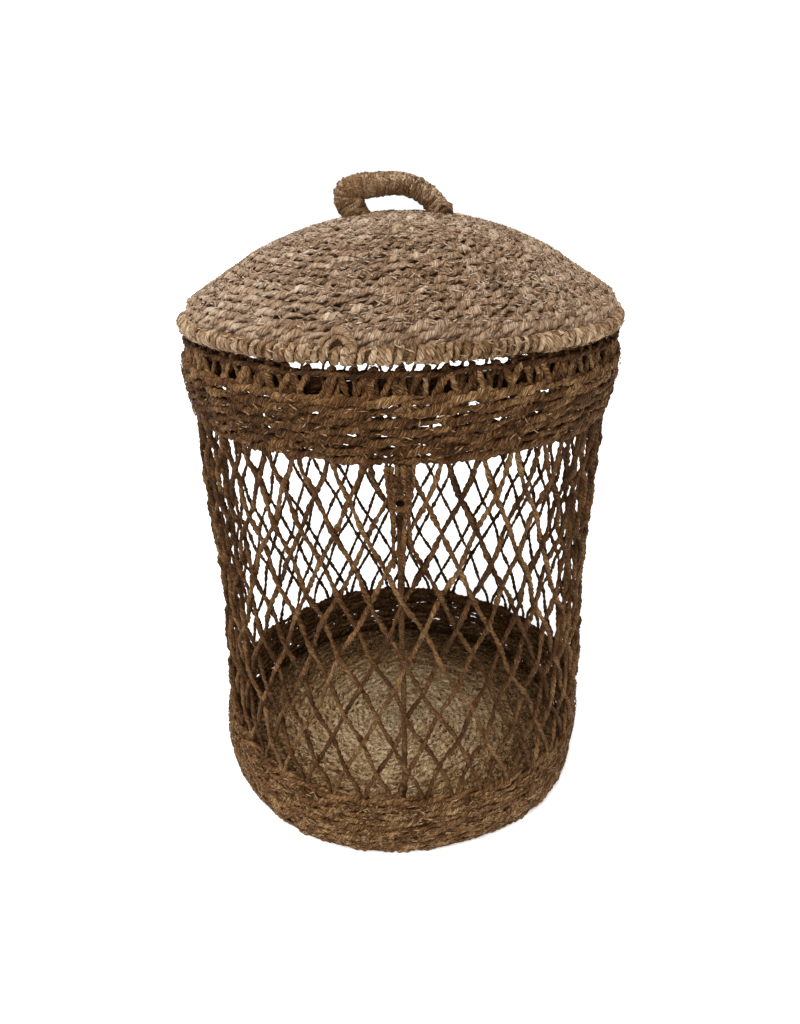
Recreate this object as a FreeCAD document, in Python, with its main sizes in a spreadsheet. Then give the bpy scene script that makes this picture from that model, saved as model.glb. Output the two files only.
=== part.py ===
import FreeCAD, Part
import Sketcher
import math
import os

from FreeCAD import Placement, Rotation, Vector

# Lidded laundry basket: a round seagrass basket on a light steel wire frame. It has a closely
# twined band at the foot and another under the rim, an open diamond lattice of cord between
# them, and a shallow domed lid with a wrapped rim roll and an arched handle. The origin is the
# centre of the foot, +Z is up, -Y is the front and lengths are in millimetres.

doc = FreeCAD.newDocument("laundry_basket")
sizes = doc.addObject("Spreadsheet::Sheet", "Sizes")

DRIVING_DIMENSIONS = [
    # The cord and wire that everything is made of
    ("row_depth", 7.5),  # across a twined row
    ("row_pitch", 7.65),  # from one twined row to the next
    ("cord_radius", 2.25),  # lattice and leg cords
    ("wire_radius", 2.0),  # hoops
    ("upright_radius", 2.5),  # wrapped upright wires
    ("layer_gap", 0.5),  # between the two layers of the lattice
    ("joint_gap", 0.3),  # between neighbouring pieces
    # Foot and lower band
    ("mat_radius", 182.0),
    ("mat_depth", 6.0),
    ("mat_edge", 2.0),
    ("spoke_radius", 1.4),
    ("spoke_start", 14.0),  # radius where the floor spokes begin
    ("foot_outer", 193.5),  # outer radius of the lowest row, tucked in
    ("lower_outer", 196.0),  # outer radius at the top of the lower band
    ("lower_belly", 2.5),  # how far the lower band swells halfway up
    ("hoop_outer", 187.0),  # outer radius of the foot hoop
    # Lattice
    ("waist_outer", 192.0),  # outer radius halfway up
    ("lattice_low", 70.6),
    ("lattice_high", 399.8),
    ("lattice_turn", 47.143),  # degrees that one cord travels round: 11 half spacings
    ("lattice_first", 1.2),  # bearing of the first pair of cord feet, degrees from +X
    # Upper band and rim
    ("upper_low", 401.0),  # underside of the upper band
    ("upper_outer", 195.0),  # outer radius at that underside
    ("flare", 7.0),  # how far the upper band spreads
    ("flare_height", 39.0),  # height over which it spreads
    ("leg_height", 13.6),  # open row of legs under the rim border
    ("leg_spread", 2.6),  # degrees that each leg leans
    ("border_radius", 3.3),  # looped border round the rim hoop
    ("border_outer", 199.4),
    ("upright_inset", 12.8),  # from the lattice's outer face to an upright's centre line
    # Lid
    ("roll_radius", 7.3),  # wrapped rim roll
    ("roll_outer", 201.0),
    ("lid_hoop_radius", 2.5),
    ("apex_height", 566.0),
    ("shoulder_radius", 133.0),  # where the crown's cap meets the skirt
    ("shoulder_height", 534.0),
    ("skirt_radius", 190.5),  # lower edge of the weave
    ("skirt_height", 498.6),
    ("dome_depth", 8.0),  # weave, measured upright
    ("crown_radius", 48.0),  # started centre of the weave
    ("lid_spoke_radius", 1.4),
    # Handle
    ("handle_radius", 9.5),  # over the wrapping
    ("core_radius", 4.5),
    ("handle_top", 590.5),  # centre line of the top run
    ("handle_foot", 552.0),  # centre line ends inside the crown, and is trimmed to it
    ("left_foot", -37.0),
    ("left_corner", -59.5),
    ("left_bend", 10.5),
    ("right_corner", 6.5),
    ("right_foot", 44.0),
    ("right_bend", 32.0),
    ("collar_radius", 2.0),  # lashing round each foot of the handle
    ("collar_height", 569.0),
    # Closure loop on the lid and lashing on the front upright
    ("loop_bearing", -101.0),  # degrees from +X
    ("loop_width", 20.0),  # between the centre lines of its legs
    ("loop_radius", 3.0),
    ("loop_height", 6.0),
    ("knot_low", 366.0),
    ("knot_high", 398.0),
    ("knot_width", 11.0),
    ("knot_depth", 6.2),
    ("eye_radius", 4.6),
    ("eye_cord", 2.6),
]
LOWER_ROWS = 9
UPPER_ROWS = 7
LATTICE_CORDS = 42  # in each of the two directions
LATTICE_RUNS = 4  # straight runs in one lattice cord
LEG_PAIRS = 42
FLOOR_SPOKES = 20
LID_SPOKES = 24
UPRIGHT_BEARINGS = {"front": -90, "right": 0, "back": 90, "left": 180}

for line, (alias, value) in enumerate(DRIVING_DIMENSIONS, start=1):
    sizes.set(f"A{line}", alias)
    sizes.set(f"B{line}", str(value))
    sizes.setAlias(f"B{line}", alias)
doc.recompute()


def size(alias):
    """A driving dimension, read from the sheet."""
    return float(getattr(sizes, alias))


# ---------------------------------------------------------------- making pieces

SUB_PARTS = []


def keep(piece, label):
    """Names a finished sub-part and puts it on the list that is exported."""
    piece.Label = label
    SUB_PARTS.append(piece)
    return piece


def bind(piece, **expressions):
    """Binds each property to an expression. A double underscore stands for a dot."""
    for name, expression in expressions.items():
        piece.setExpression(name.replace("__", "."), expression)


def torus(name, centre_radius, cord_radius, height):
    """A ring round the basket's axis, all three sizes given as expressions."""
    ring = doc.addObject("Part::Torus", name)
    bind(ring, Radius1=centre_radius, Radius2=cord_radius, Placement__Base__z=height)
    return ring


def hollow_torus(label, centre_radius, outer, inner, height):
    """A ring with a bore all the way round, such as a wrapping over a hoop."""
    body = torus(label + "_body", centre_radius, outer, height)
    bore = torus(label + "_bore", centre_radius, inner, height)
    shell = doc.addObject("Part::Cut", label)
    shell.Base = body
    shell.Tool = bore
    return keep(shell, label)


def feature(label, shape, placement=None):
    """A sub-part whose shape is built directly from the sheet's sizes."""
    piece = doc.addObject("Part::Feature", label)
    piece.Shape = shape
    piece.Placement = placement or Placement()
    return keep(piece, label)


def polar(radius, degrees, height):
    angle = math.radians(degrees)
    return Vector(radius * math.cos(angle), radius * math.sin(angle), height)


def tube(points, radius):
    """A round bar with mitred corners through the points."""
    along = points[1] - points[0]
    profile = Part.Wire(Part.makeCircle(radius, points[0], along))
    return Part.makePolygon(points).makePipeShell([profile], True, False, 1)


def ring_of(shape, count, first=0.0):
    """The shape repeated round the basket's axis."""
    copies = []
    for index in range(count):
        copy = shape.copy()
        copy.rotate(Vector(), Vector(0, 0, 1), first + 360.0 * index / count)
        copies.append(copy)
    return Part.makeCompound(copies)


def rounded_path(points, radii):
    """Straight runs through the points with a tangent arc at each inner point."""
    edges = []
    start = points[0]
    for before, corner, after, radius in zip(points, points[1:], points[2:], radii):
        inward = (before - corner).normalize()
        outward = (after - corner).normalize()
        half = inward.getAngle(outward) / 2
        reach = radius / math.tan(half)
        first = corner + inward * reach
        last = corner + outward * reach
        bisector = (inward + outward).normalize()
        middle = corner + bisector * (radius / math.sin(half) - radius)
        edges.append(Part.LineSegment(start, first).toShape())
        edges.append(Part.Arc(first, middle, last).toShape())
        start = last
    edges.append(Part.LineSegment(start, points[-1]).toShape())
    return Part.Wire(edges)


def sweep(name, path, radius_alias):
    """A round bar along a path, its radius bound to the sheet."""
    spine = doc.addObject("Part::Feature", name + "_path")
    spine.Shape = path
    section = doc.addObject("Part::Circle", name + "_section")
    bind(section, Radius="Sizes." + radius_alias)
    first = path.OrderedEdges[0]
    start = first.valueAt(first.FirstParameter)
    along = first.tangentAt(first.FirstParameter)
    section.Placement = Placement(start, Rotation(Vector(0, 0, 1), along))
    bar = doc.addObject("Part::Sweep", name)
    bar.Sections = [section]
    bar.Spine = (spine, [f"Edge{index + 1}" for index in range(len(path.Edges))])
    bar.Solid = True
    bar.Frenet = True
    return bar


def origin_plane(body, role):
    """One of a body's own origin planes."""
    return next(item for item in body.Origin.OriginFeatures if item.Role == role)


def sketch_on(body, role, name):
    sketch = body.newObject("Sketcher::SketchObject", name)
    sketch.AttachmentSupport = [(origin_plane(body, role), "")]
    sketch.MapMode = "FlatFace"
    return sketch


# ---------------------------------------------------------------- foot and lower band

LAYER_STEP = "(2 * Sizes.cord_radius + Sizes.layer_gap)"
CORD_STEP = 2 * size("cord_radius") + size("layer_gap")


def make_floor_mat():
    """Flat twined disc that closes the foot and carries the basket on the ground."""
    body = doc.addObject("PartDesign::Body", "FloorMat")
    outline = sketch_on(body, "XY_Plane", "MatOutline")
    circle = Part.Circle(Vector(), Vector(0, 0, 1), size("mat_radius"))
    edge = outline.addGeometry(circle, False)
    outline.addConstraint(Sketcher.Constraint("Coincident", edge, 3, -1, 1))
    outline.addConstraint(Sketcher.Constraint("Radius", edge, size("mat_radius")))
    outline.renameConstraint(1, "mat_radius")
    outline.setExpression("Constraints.mat_radius", "Sizes.mat_radius")
    disc = body.newObject("PartDesign::Pad", "MatPad")
    disc.Profile = outline
    bind(disc, Length="Sizes.mat_depth")
    doc.recompute()
    top_edge = next(
        f"Edge{index + 1}"
        for index, item in enumerate(disc.Shape.Edges)
        if item.BoundBox.ZMin > size("mat_depth") / 2
    )
    rounding = body.newObject("PartDesign::Fillet", "MatRounding")
    rounding.Base = (disc, [top_edge])
    bind(rounding, Radius="Sizes.mat_edge")
    keep(body, "floor_mat")


def make_floor_spokes():
    """Straight warps on the mat, the ends that turn up into the wall."""
    height = size("mat_depth") + size("joint_gap") + size("spoke_radius")
    bar = Part.makeCylinder(
        size("spoke_radius"),
        size("mat_radius") - 2 * size("mat_edge") - size("spoke_start"),
        Vector(size("spoke_start"), 0, height),
        Vector(1, 0, 0),
    )
    feature("floor_spokes", ring_of(bar, FLOOR_SPOKES))


def make_foot_hoop():
    """Steel hoop inside the second row, which holds the foot round."""
    ring = torus(
        "FootHoop",
        "Sizes.hoop_outer - Sizes.wire_radius",
        "Sizes.wire_radius",
        "Sizes.mat_depth + 2 * Sizes.spoke_radius + Sizes.wire_radius + 2 * Sizes.joint_gap",
    )
    keep(ring, "foot_hoop")


def lower_outer_radius(row):
    """Outer radius of a lower row as an expression: tucked in at the foot, then a belly."""
    if row == 0:
        return "Sizes.foot_outer"
    bulge = math.sin(math.pi * row / LOWER_ROWS)
    return f"(Sizes.lower_outer + Sizes.lower_belly * {bulge:.4f})"


def make_lower_rows():
    for row in range(LOWER_ROWS):
        ring = torus(
            f"LowerRow{row + 1}",
            lower_outer_radius(row) + " - Sizes.row_depth / 2",
            "Sizes.row_depth / 2",
            f"Sizes.row_pitch * {row + 0.5}",
        )
        keep(ring, f"lower_row_{row + 1}")


# ---------------------------------------------------------------- lattice and frame


def wall_outer_radius(height):
    """Outer radius of the lattice: it draws in from both bands to a waist."""
    low = size("lattice_low")
    high = size("lattice_high")
    share = (height - low) / (high - low)
    ends = size("lower_outer") * (1 - share) + size("upper_outer") * share
    draw = (size("lower_outer") + size("upper_outer")) / 2 - size("waist_outer")
    return ends - draw * math.sin(math.pi * share)


def lattice_cord(direction, inset):
    """One cord of the lattice, in straight runs that follow the wall round."""
    points = []
    for step in range(LATTICE_RUNS + 1):
        share = step / LATTICE_RUNS
        height = size("lattice_low") * (1 - share) + size("lattice_high") * share
        radius = wall_outer_radius(height) - size("cord_radius") - inset
        points.append(polar(radius, direction * size("lattice_turn") * share, height))
    return tube(points, size("cord_radius"))


def make_lattice():
    """Two sets of cords that cross: the right-leaning set outside, the left-leaning inside."""
    right = lattice_cord(1, 0.0)
    left = lattice_cord(-1, CORD_STEP)
    first = size("lattice_first")
    feature("lattice_cords_right", ring_of(right, LATTICE_CORDS, first))
    feature("lattice_cords_left", ring_of(left, LATTICE_CORDS, first))


def make_uprights():
    """Wrapped wires inside the wall that carry the rim on the foot."""
    start = size("mat_depth") + 2 * size("spoke_radius") + 2 * size("joint_gap")
    low = size("upper_low")
    high = low + UPPER_ROWS * size("row_pitch") + size("leg_height") - size("upright_radius")
    inner = wall_outer_radius((size("lattice_low") + low) / 2) - size("upright_inset")
    top = inner + size("upright_inset")
    for side, bearing in UPRIGHT_BEARINGS.items():
        points = [
            polar(inner, bearing, start),
            polar(inner, bearing, low),
            polar(top, bearing, high),
        ]
        feature(f"{side}_upright", tube(points, size("upright_radius")))


# ---------------------------------------------------------------- upper band and rim


def make_upper_rows():
    for row in range(UPPER_ROWS):
        rise = size("row_pitch") * (row + 0.5)
        share = min(1.0, rise / size("flare_height"))
        ring = torus(
            f"UpperRow{row + 1}",
            f"Sizes.upper_outer + Sizes.flare * {share:.4f} - Sizes.row_depth / 2",
            "Sizes.row_depth / 2",
            f"Sizes.upper_low + Sizes.row_pitch * {row + 0.5}",
        )
        keep(ring, f"upper_row_{row + 1}")


def make_rim_legs():
    """Open row of warp ends, each pair spreading in a V from the band to the rim border."""
    low = size("upper_low") + UPPER_ROWS * size("row_pitch")
    high = low + size("leg_height")
    start = low + size("joint_gap") + size("cord_radius") / 2
    end = high - size("joint_gap") - size("cord_radius") / 2
    bottom = size("upper_outer") + size("flare") - size("row_depth") / 2
    top = size("border_outer") - size("border_radius")
    foot_angle = math.degrees(1.15 * size("cord_radius") / bottom)
    legs = []
    for lean in (-1, 1):
        first = polar(bottom, lean * foot_angle, start)
        last = polar(top, lean * (foot_angle + size("leg_spread")), end)
        run = last - first
        legs.append(Part.makeCylinder(size("cord_radius"), run.Length, first, run))
    feature("rim_legs", ring_of(Part.makeCompound(legs), LEG_PAIRS))


def rim_height():
    """Height of the lid roll's underside."""
    border = size("upper_low") + UPPER_ROWS * size("row_pitch") + size("leg_height")
    return border + 2 * size("border_radius") + size("joint_gap")


BORDER_HEIGHT = (
    f"Sizes.upper_low + {UPPER_ROWS} * Sizes.row_pitch + Sizes.leg_height + Sizes.border_radius"
)
ROLL_HEIGHT = f"{BORDER_HEIGHT} + Sizes.border_radius + Sizes.joint_gap + Sizes.roll_radius"


def make_rim():
    """Steel rim hoop and the border of warp loops that is turned over it."""
    centre = "Sizes.border_outer - Sizes.border_radius"
    hoop = torus("RimHoop", centre, "Sizes.wire_radius", BORDER_HEIGHT)
    keep(hoop, "rim_hoop")
    hollow_torus(
        "rim_border", centre, "Sizes.border_radius", "Sizes.wire_radius + 0.1", BORDER_HEIGHT
    )


def make_front_lashing():
    """Bound knot high on the front of the lattice, with a small eye under it."""
    width = size("knot_width")
    depth = size("knot_depth")
    face = size("upper_outer") + size("joint_gap")
    eye_height = size("knot_low") + size("eye_radius") + size("eye_cord")
    low = eye_height + size("eye_radius")
    block = Part.makeBox(width, depth, size("knot_high") - low)
    block.translate(Vector(-width / 2, -face - depth, low))
    knot = block.makeFillet(depth * 0.4, block.Edges)
    centre = Vector(0, -face - depth / 2, eye_height)
    eye = Part.makeTorus(size("eye_radius"), size("eye_cord"), centre, Vector(0, 1, 0))
    feature("front_lashing", knot.fuse(eye).removeSplitter())


# ---------------------------------------------------------------- lid


def make_lid_rim():
    """Steel hoop of the lid and the cord wrapped round it in a thick roll."""
    centre = "Sizes.roll_outer - Sizes.roll_radius"
    hoop = torus("LidHoop", centre, "Sizes.lid_hoop_radius", ROLL_HEIGHT)
    keep(hoop, "lid_hoop")
    hollow_torus(
        "lid_rim_wrap", centre, "Sizes.roll_radius", "Sizes.lid_hoop_radius + 0.1", ROLL_HEIGHT
    )


CAP_RISE = "(Sizes.apex_height - Sizes.shoulder_height)"
CAP_RADIUS = f"(Sizes.shoulder_radius ^ 2 + {CAP_RISE} ^ 2) / (2 * {CAP_RISE})"


def cap_radius():
    rise = size("apex_height") - size("shoulder_height")
    return (size("shoulder_radius") ** 2 + rise**2) / (2 * rise)


def dome_height(radius):
    """Height of the lid's outer face at a radius: a round cap, then a straight skirt."""
    if radius <= size("shoulder_radius"):
        ball = cap_radius()
        return size("apex_height") - ball + math.sqrt(ball**2 - radius**2)
    share = (radius - size("shoulder_radius")) / (size("skirt_radius") - size("shoulder_radius"))
    return size("shoulder_height") * (1 - share) + size("skirt_height") * share


def dome_shell(name, inner_radius, outer_radius):
    """A turned shell: the dome between two radii, the same upright depth all over."""
    body = doc.addObject("PartDesign::Body", name)
    profile = sketch_on(body, "XZ_Plane", name + "Profile")
    depth = size("dome_depth")
    ball = cap_radius()
    apex = size("apex_height")
    bend = min(outer_radius, size("shoulder_radius"))

    def arc_between(drop):
        """The cap's arc from inner_radius to the bend, lowered by drop."""
        centre = Vector(0, apex - ball - drop, 0)
        circle = Part.Circle(centre, Vector(0, 0, 1), ball)
        start = math.acos(bend / ball)
        end = math.acos(inner_radius / ball)
        return profile.addGeometry(Part.ArcOfCircle(circle, start, end), False)

    def line_between(first, last):
        segment = Part.LineSegment(Vector(*first, 0), Vector(*last, 0))
        return profile.addGeometry(segment, False)

    def join(first, first_end, last, last_end):
        profile.addConstraint(
            Sketcher.Constraint("Coincident", first, first_end, last, last_end)
        )

    top = arc_between(0)
    bottom = arc_between(depth)
    bend_top = (bend, dome_height(bend))
    bend_bottom = (bend, dome_height(bend) - depth)
    centre_top = (inner_radius, dome_height(inner_radius))
    centre_bottom = (inner_radius, dome_height(inner_radius) - depth)
    inside = line_between(centre_top, centre_bottom)
    join(top, 2, inside, 1)
    join(inside, 2, bottom, 2)
    if outer_radius > bend:
        edge_top = (outer_radius, dome_height(outer_radius))
        edge_bottom = (outer_radius, dome_height(outer_radius) - depth)
        skirt_top = line_between(bend_top, edge_top)
        rim = line_between(edge_top, edge_bottom)
        skirt_bottom = line_between(edge_bottom, bend_bottom)
        join(top, 1, skirt_top, 1)
        join(skirt_top, 2, rim, 1)
        join(rim, 2, skirt_bottom, 1)
        join(skirt_bottom, 2, bottom, 1)
    else:
        rim = line_between(bend_top, bend_bottom)
        join(top, 1, rim, 1)
        join(rim, 2, bottom, 1)
    for arc, drop in ((top, "0"), (bottom, "Sizes.dome_depth")):
        centre = profile.addConstraint(
            Sketcher.Constraint("DistanceY", -1, 1, arc, 3, apex - ball)
        )
        profile.setExpression(
            f"Constraints[{centre}]", f"Sizes.apex_height - {CAP_RADIUS} - {drop}"
        )
    shell = body.newObject("PartDesign::Revolution", name + "Turned")
    shell.Profile = profile
    shell.ReferenceAxis = (profile, ["V_Axis"])
    shell.Angle = 360
    return body


def make_lid_weave():
    """The twined dome, and the crown at its centre where the weaving starts."""
    gap = size("joint_gap")
    weave = dome_shell("LidWeave", size("crown_radius") + gap, size("skirt_radius"))
    keep(weave, "lid_weave")
    crown = dome_shell("LidCrown", 0.0, size("crown_radius"))
    keep(crown, "lid_crown")


def make_lid_spokes():
    """Warps that run under the dome from the crown to the rim roll."""
    drop = size("dome_depth") + 2 * size("lid_spoke_radius")
    start = size("crown_radius") / 3
    end = size("skirt_radius") - size("roll_radius") / 2
    knees = [start, size("shoulder_radius") * 0.6, size("shoulder_radius"), end]
    points = [Vector(radius, 0, dome_height(radius) - drop) for radius in knees]
    bar = tube(points, size("lid_spoke_radius"))
    feature("lid_spokes", ring_of(bar, LID_SPOKES))


def handle_path():
    foot = size("handle_foot")
    top = size("handle_top")
    corners = [
        Vector(size("left_foot"), 0, foot),
        Vector(size("left_corner"), 0, top),
        Vector(size("right_corner"), 0, top),
        Vector(size("right_foot"), 0, foot),
    ]
    return rounded_path(corners, [size("left_bend"), size("right_bend")])


def crown_ball(name):
    """The ball that the crown's outer face lies on, used to trim what stands on it."""
    ball = doc.addObject("Part::Sphere", name)
    bind(
        ball,
        Radius=f"{CAP_RADIUS} + Sizes.joint_gap / 3",
        Placement__Base__z=f"Sizes.apex_height - {CAP_RADIUS}",
    )
    return ball


def make_handle():
    """Arched core with cord wrapped round it, both ending on the crown."""
    path = handle_path()
    core_bar = sweep("HandleCoreBar", path, "core_radius")
    core = doc.addObject("Part::Cut", "HandleCore")
    core.Base = core_bar
    core.Tool = crown_ball("CoreTrim")
    wrap_bar = sweep("HandleWrapBar", path, "handle_radius")
    bore = sweep("HandleWrapBore", path, "core_radius")
    bore_cut = doc.addObject("Part::Cut", "HandleWrapTube")
    bore_cut.Base = wrap_bar
    bore_cut.Tool = bore
    wrap = doc.addObject("Part::Cut", "HandleWrap")
    wrap.Base = bore_cut
    wrap.Tool = crown_ball("WrapTrim")
    keep(core, "handle_core")
    keep(wrap, "handle_wrap")


def make_handle_lashings():
    """A collar of cord round each foot of the handle, lying on the crown."""
    rise = size("handle_top") - size("handle_foot")
    share = (size("collar_height") - size("handle_foot")) / rise
    for side in ("left", "right"):
        foot = size(f"{side}_foot")
        run = size(f"{side}_corner") - foot
        ring = doc.addObject("Part::Torus", f"Collar{side.capitalize()}")
        ring.Placement = Placement(
            Vector(foot + run * share, 0, size("collar_height")),
            Rotation(Vector(0, 0, 1), Vector(run, 0, rise)),
        )
        bind(
            ring,
            Radius1="Sizes.handle_radius + Sizes.collar_radius + Sizes.joint_gap",
            Radius2="Sizes.collar_radius",
        )
        collar = doc.addObject("Part::Cut", f"HandleLashing{side.capitalize()}")
        collar.Base = ring
        collar.Tool = crown_ball(f"CollarTrim{side.capitalize()}")
        keep(collar, f"handle_lashing_{side}")


def make_lid_loop():
    """Small cord arch that stands on the rim roll at the front."""
    half = size("loop_width") / 2
    rise = size("loop_height")
    radius = size("roll_outer") - size("roll_radius")
    foot = rim_height() + 2 * size("roll_radius") + size("joint_gap")
    corners = [
        Vector(radius, -half, foot),
        Vector(radius, -half, foot + rise),
        Vector(radius, half, foot + rise),
        Vector(radius, half, foot),
    ]
    bend = min(half, rise) * 0.8
    path = rounded_path(corners, [bend, bend])
    profile = Part.Wire(Part.makeCircle(size("loop_radius"), corners[0], Vector(0, 0, 1)))
    arch = path.makePipeShell([profile], True, False)
    turned = Placement(Vector(), Rotation(Vector(0, 0, 1), size("loop_bearing")))
    feature("lid_loop", arch, turned)


# ---------------------------------------------------------------- build, check and export


def check():
    """Stops if anything failed to build or any sub-part isn't sound."""
    for item in doc.Objects:
        if "Invalid" in item.State or "Error" in item.State:
            raise RuntimeError(f"{item.Label} failed to rebuild: {item.State}")
    for piece in SUB_PARTS:
        shape = piece.Shape
        if shape.isNull() or not shape.isValid() or not shape.Solids:
            raise RuntimeError(f"{piece.Label} has no sound solid")


def export():
    os.makedirs("parts", exist_ok=True)
    for piece in SUB_PARTS:
        piece.Shape.exportStep(os.path.join("parts", piece.Label + ".step"))


make_floor_mat()
make_floor_spokes()
make_foot_hoop()
make_lower_rows()
make_lattice()
make_uprights()
make_upper_rows()
make_rim_legs()
make_rim()
make_front_lashing()
make_lid_rim()
make_lid_weave()
make_lid_spokes()
make_handle()
make_handle_lashings()
make_lid_loop()
doc.recompute()
check()
export()
for piece in SUB_PARTS:
    box = piece.Shape.optimalBoundingBox(False)
    print(
        f"{piece.Label:22s} solids {len(piece.Shape.Solids):3d}"
        f"  volume {piece.Shape.Volume / 1000:9.2f} cm3"
        f"  x {box.XMin:7.1f} {box.XMax:7.1f}  y {box.YMin:7.1f} {box.YMax:7.1f}"
        f"  z {box.ZMin:6.1f} {box.ZMax:6.1f}"
    )
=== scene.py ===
import math

import bpy
import numpy as np
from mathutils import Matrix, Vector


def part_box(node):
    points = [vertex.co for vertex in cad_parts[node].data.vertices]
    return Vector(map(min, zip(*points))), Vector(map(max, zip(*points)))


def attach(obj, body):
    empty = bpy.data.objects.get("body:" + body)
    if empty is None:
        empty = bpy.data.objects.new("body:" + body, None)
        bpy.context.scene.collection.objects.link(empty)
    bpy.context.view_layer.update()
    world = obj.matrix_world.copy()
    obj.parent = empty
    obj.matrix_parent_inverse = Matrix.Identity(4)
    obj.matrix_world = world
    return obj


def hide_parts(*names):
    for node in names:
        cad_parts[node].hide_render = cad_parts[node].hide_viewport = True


# Lidded seagrass laundry basket: every strand is a twisted cord with its own path. Two twined
# bands, an open diamond lattice between them, a looped rim, a domed lid with a wrapped roll and
# an arched handle. Lengths are in metres, +Z is up and -Y is the front.

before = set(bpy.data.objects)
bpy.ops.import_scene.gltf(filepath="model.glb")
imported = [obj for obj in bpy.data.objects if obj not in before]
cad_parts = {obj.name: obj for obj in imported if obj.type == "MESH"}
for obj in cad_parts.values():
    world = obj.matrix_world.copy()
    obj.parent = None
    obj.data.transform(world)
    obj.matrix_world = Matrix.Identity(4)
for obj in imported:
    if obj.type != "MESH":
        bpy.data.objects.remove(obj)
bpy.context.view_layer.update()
MM = 0.001
TURN = 2 * math.pi


# ---------------------------------------------------------------- sizes from the frame


def outer(node):
    """Outer radius of a round node."""
    low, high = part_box(node)
    return (high[0] - low[0]) / 2


def bottom(node):
    """Height of a node's lowest point."""
    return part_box(node)[0][2]


def top(node):
    """Height of a node's highest point."""
    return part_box(node)[1][2]


def middle(node):
    """Height halfway up a node."""
    return (bottom(node) + top(node)) / 2


LOWER = [f"lower_row_{n}" for n in range(1, 10)]
UPPER = [f"upper_row_{n}" for n in range(1, 8)]
WAIST = 192.0 * MM  # outer radius of the wall halfway up
CORDS = 42  # lattice cords in each direction, and warps in the bands
LATTICE_FIRST = math.radians(1.2)  # bearing of the first pair of cord feet
LATTICE_TURN = math.radians(47.143)  # how far one cord travels round
CROSSINGS = 11  # of one cord with cords that lean the other way
LATTICE_LOW = top("lower_row_9") + 1.0 * MM
LATTICE_HIGH = bottom("upper_row_1") - 1.0 * MM
ROLL_CENTRE = outer("lid_rim_wrap") - (top("lid_rim_wrap") - bottom("lid_rim_wrap")) / 2
ROLL_RADIUS = (top("lid_rim_wrap") - bottom("lid_rim_wrap")) / 2
ROLL_HEIGHT = middle("lid_rim_wrap")
APEX = top("lid_crown")
SHOULDER = (133.0 * MM, 534.0 * MM)  # where the crown's cap meets the lid's skirt
SKIRT = (190.5 * MM, 498.6 * MM)  # lower edge of the lid's weave
BACKING_HEIGHTS = (449.0, 453.0, 457.0, 460.5, 464.0, 467.0)  # mm, rows behind the legs
RIM_LOOPS = 72
LID_ROWS = 22
UPRIGHT_RADIUS = 179.2 * MM  # from the axis to an upright's centre line
UPRIGHT_RIM = 190.0 * MM  # the same at its top, where it leans out to the rim

# The basket is handmade: it sways a little on its way up and its rings tip with height.
SWAY_HEIGHTS = (0, 40, 120, 165, 230, 300, 600)  # mm above the floor
SWAY_SHIFTS = (-4.0, 5.0, 4.0, 4.2, 1.8, 0.0, 0.6)  # mm to the right at each of them
SWAY_BLUR = 0.03  # the sway is the mean of that this far below and above
TIP = 0.022  # slope of the rings at full height, up to the right
WALL_RADIUS = 0.195
FULL_HEIGHT = 0.6


def wander(angle, height, seed, size, turns=(2, 7), rise=0.35, terms=10):
    """A smooth random field round the wall and up it, of about that size."""
    rng = np.random.default_rng(seed)
    total = 0.0
    for _ in range(terms):
        count = rng.integers(turns[0], turns[1] + 1)
        climb = rng.uniform(-1, 1) * TURN / rise
        total = total + np.cos(count * angle + climb * height + rng.uniform(0, TURN))
    return size * total / math.sqrt(terms / 2)


def ripple(length, seed, size, wave):
    """Smooth random change along each strand. length is (strands, points)."""
    rng = np.random.default_rng(seed)
    total = np.zeros_like(length)
    for factor in (1.0, 1.7, 2.9):
        phase = rng.uniform(0, TURN, (length.shape[0], 1))
        stretch = rng.uniform(0.8, 1.25, (length.shape[0], 1))
        total += np.sin(TURN * length * factor * stretch / wave + phase) / factor
    return size * total


def settle(points):
    """Moves points of the perfect basket to where the handmade one has them."""
    x, y, z = points[..., 0], points[..., 1], points[..., 2]
    angle = np.arctan2(y, x)
    reach = np.hypot(x, y) / WALL_RADIUS
    share = z / FULL_HEIGHT
    swell = wander(angle, z, 11, 0.9 * MM, (2, 5), 0.5) * reach
    rise = wander(angle, z, 12, 0.7 * MM, (2, 6), 0.5) * reach * np.clip(share * 3, 0, 1)
    heights = np.array(SWAY_HEIGHTS) * MM
    below = np.interp(z - SWAY_BLUR, heights, SWAY_SHIFTS)
    sway = (below + np.interp(z + SWAY_BLUR, heights, SWAY_SHIFTS)) / 2
    moved = np.empty_like(points)
    moved[..., 0] = x + swell * np.cos(angle) + sway * MM
    moved[..., 1] = y + swell * np.sin(angle)
    moved[..., 2] = z + rise + TIP * x * share
    return moved


# ---------------------------------------------------------------- strands


def painted_light_on_lid(points):
    """Painted light: how much lighter the lid is painted where the light falls on it, least in a
    painted shaded patch at the front, less on the right.
    """
    east, north = points[:, 0], points[:, 1]
    away = ((east - 0.015) / 0.115) ** 2 + ((north + 0.145) / 0.088) ** 2
    return (0.20 - 0.08 * np.clip(east / 0.15, 0, 1)) * (1 - np.exp(-away ** 2))


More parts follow.
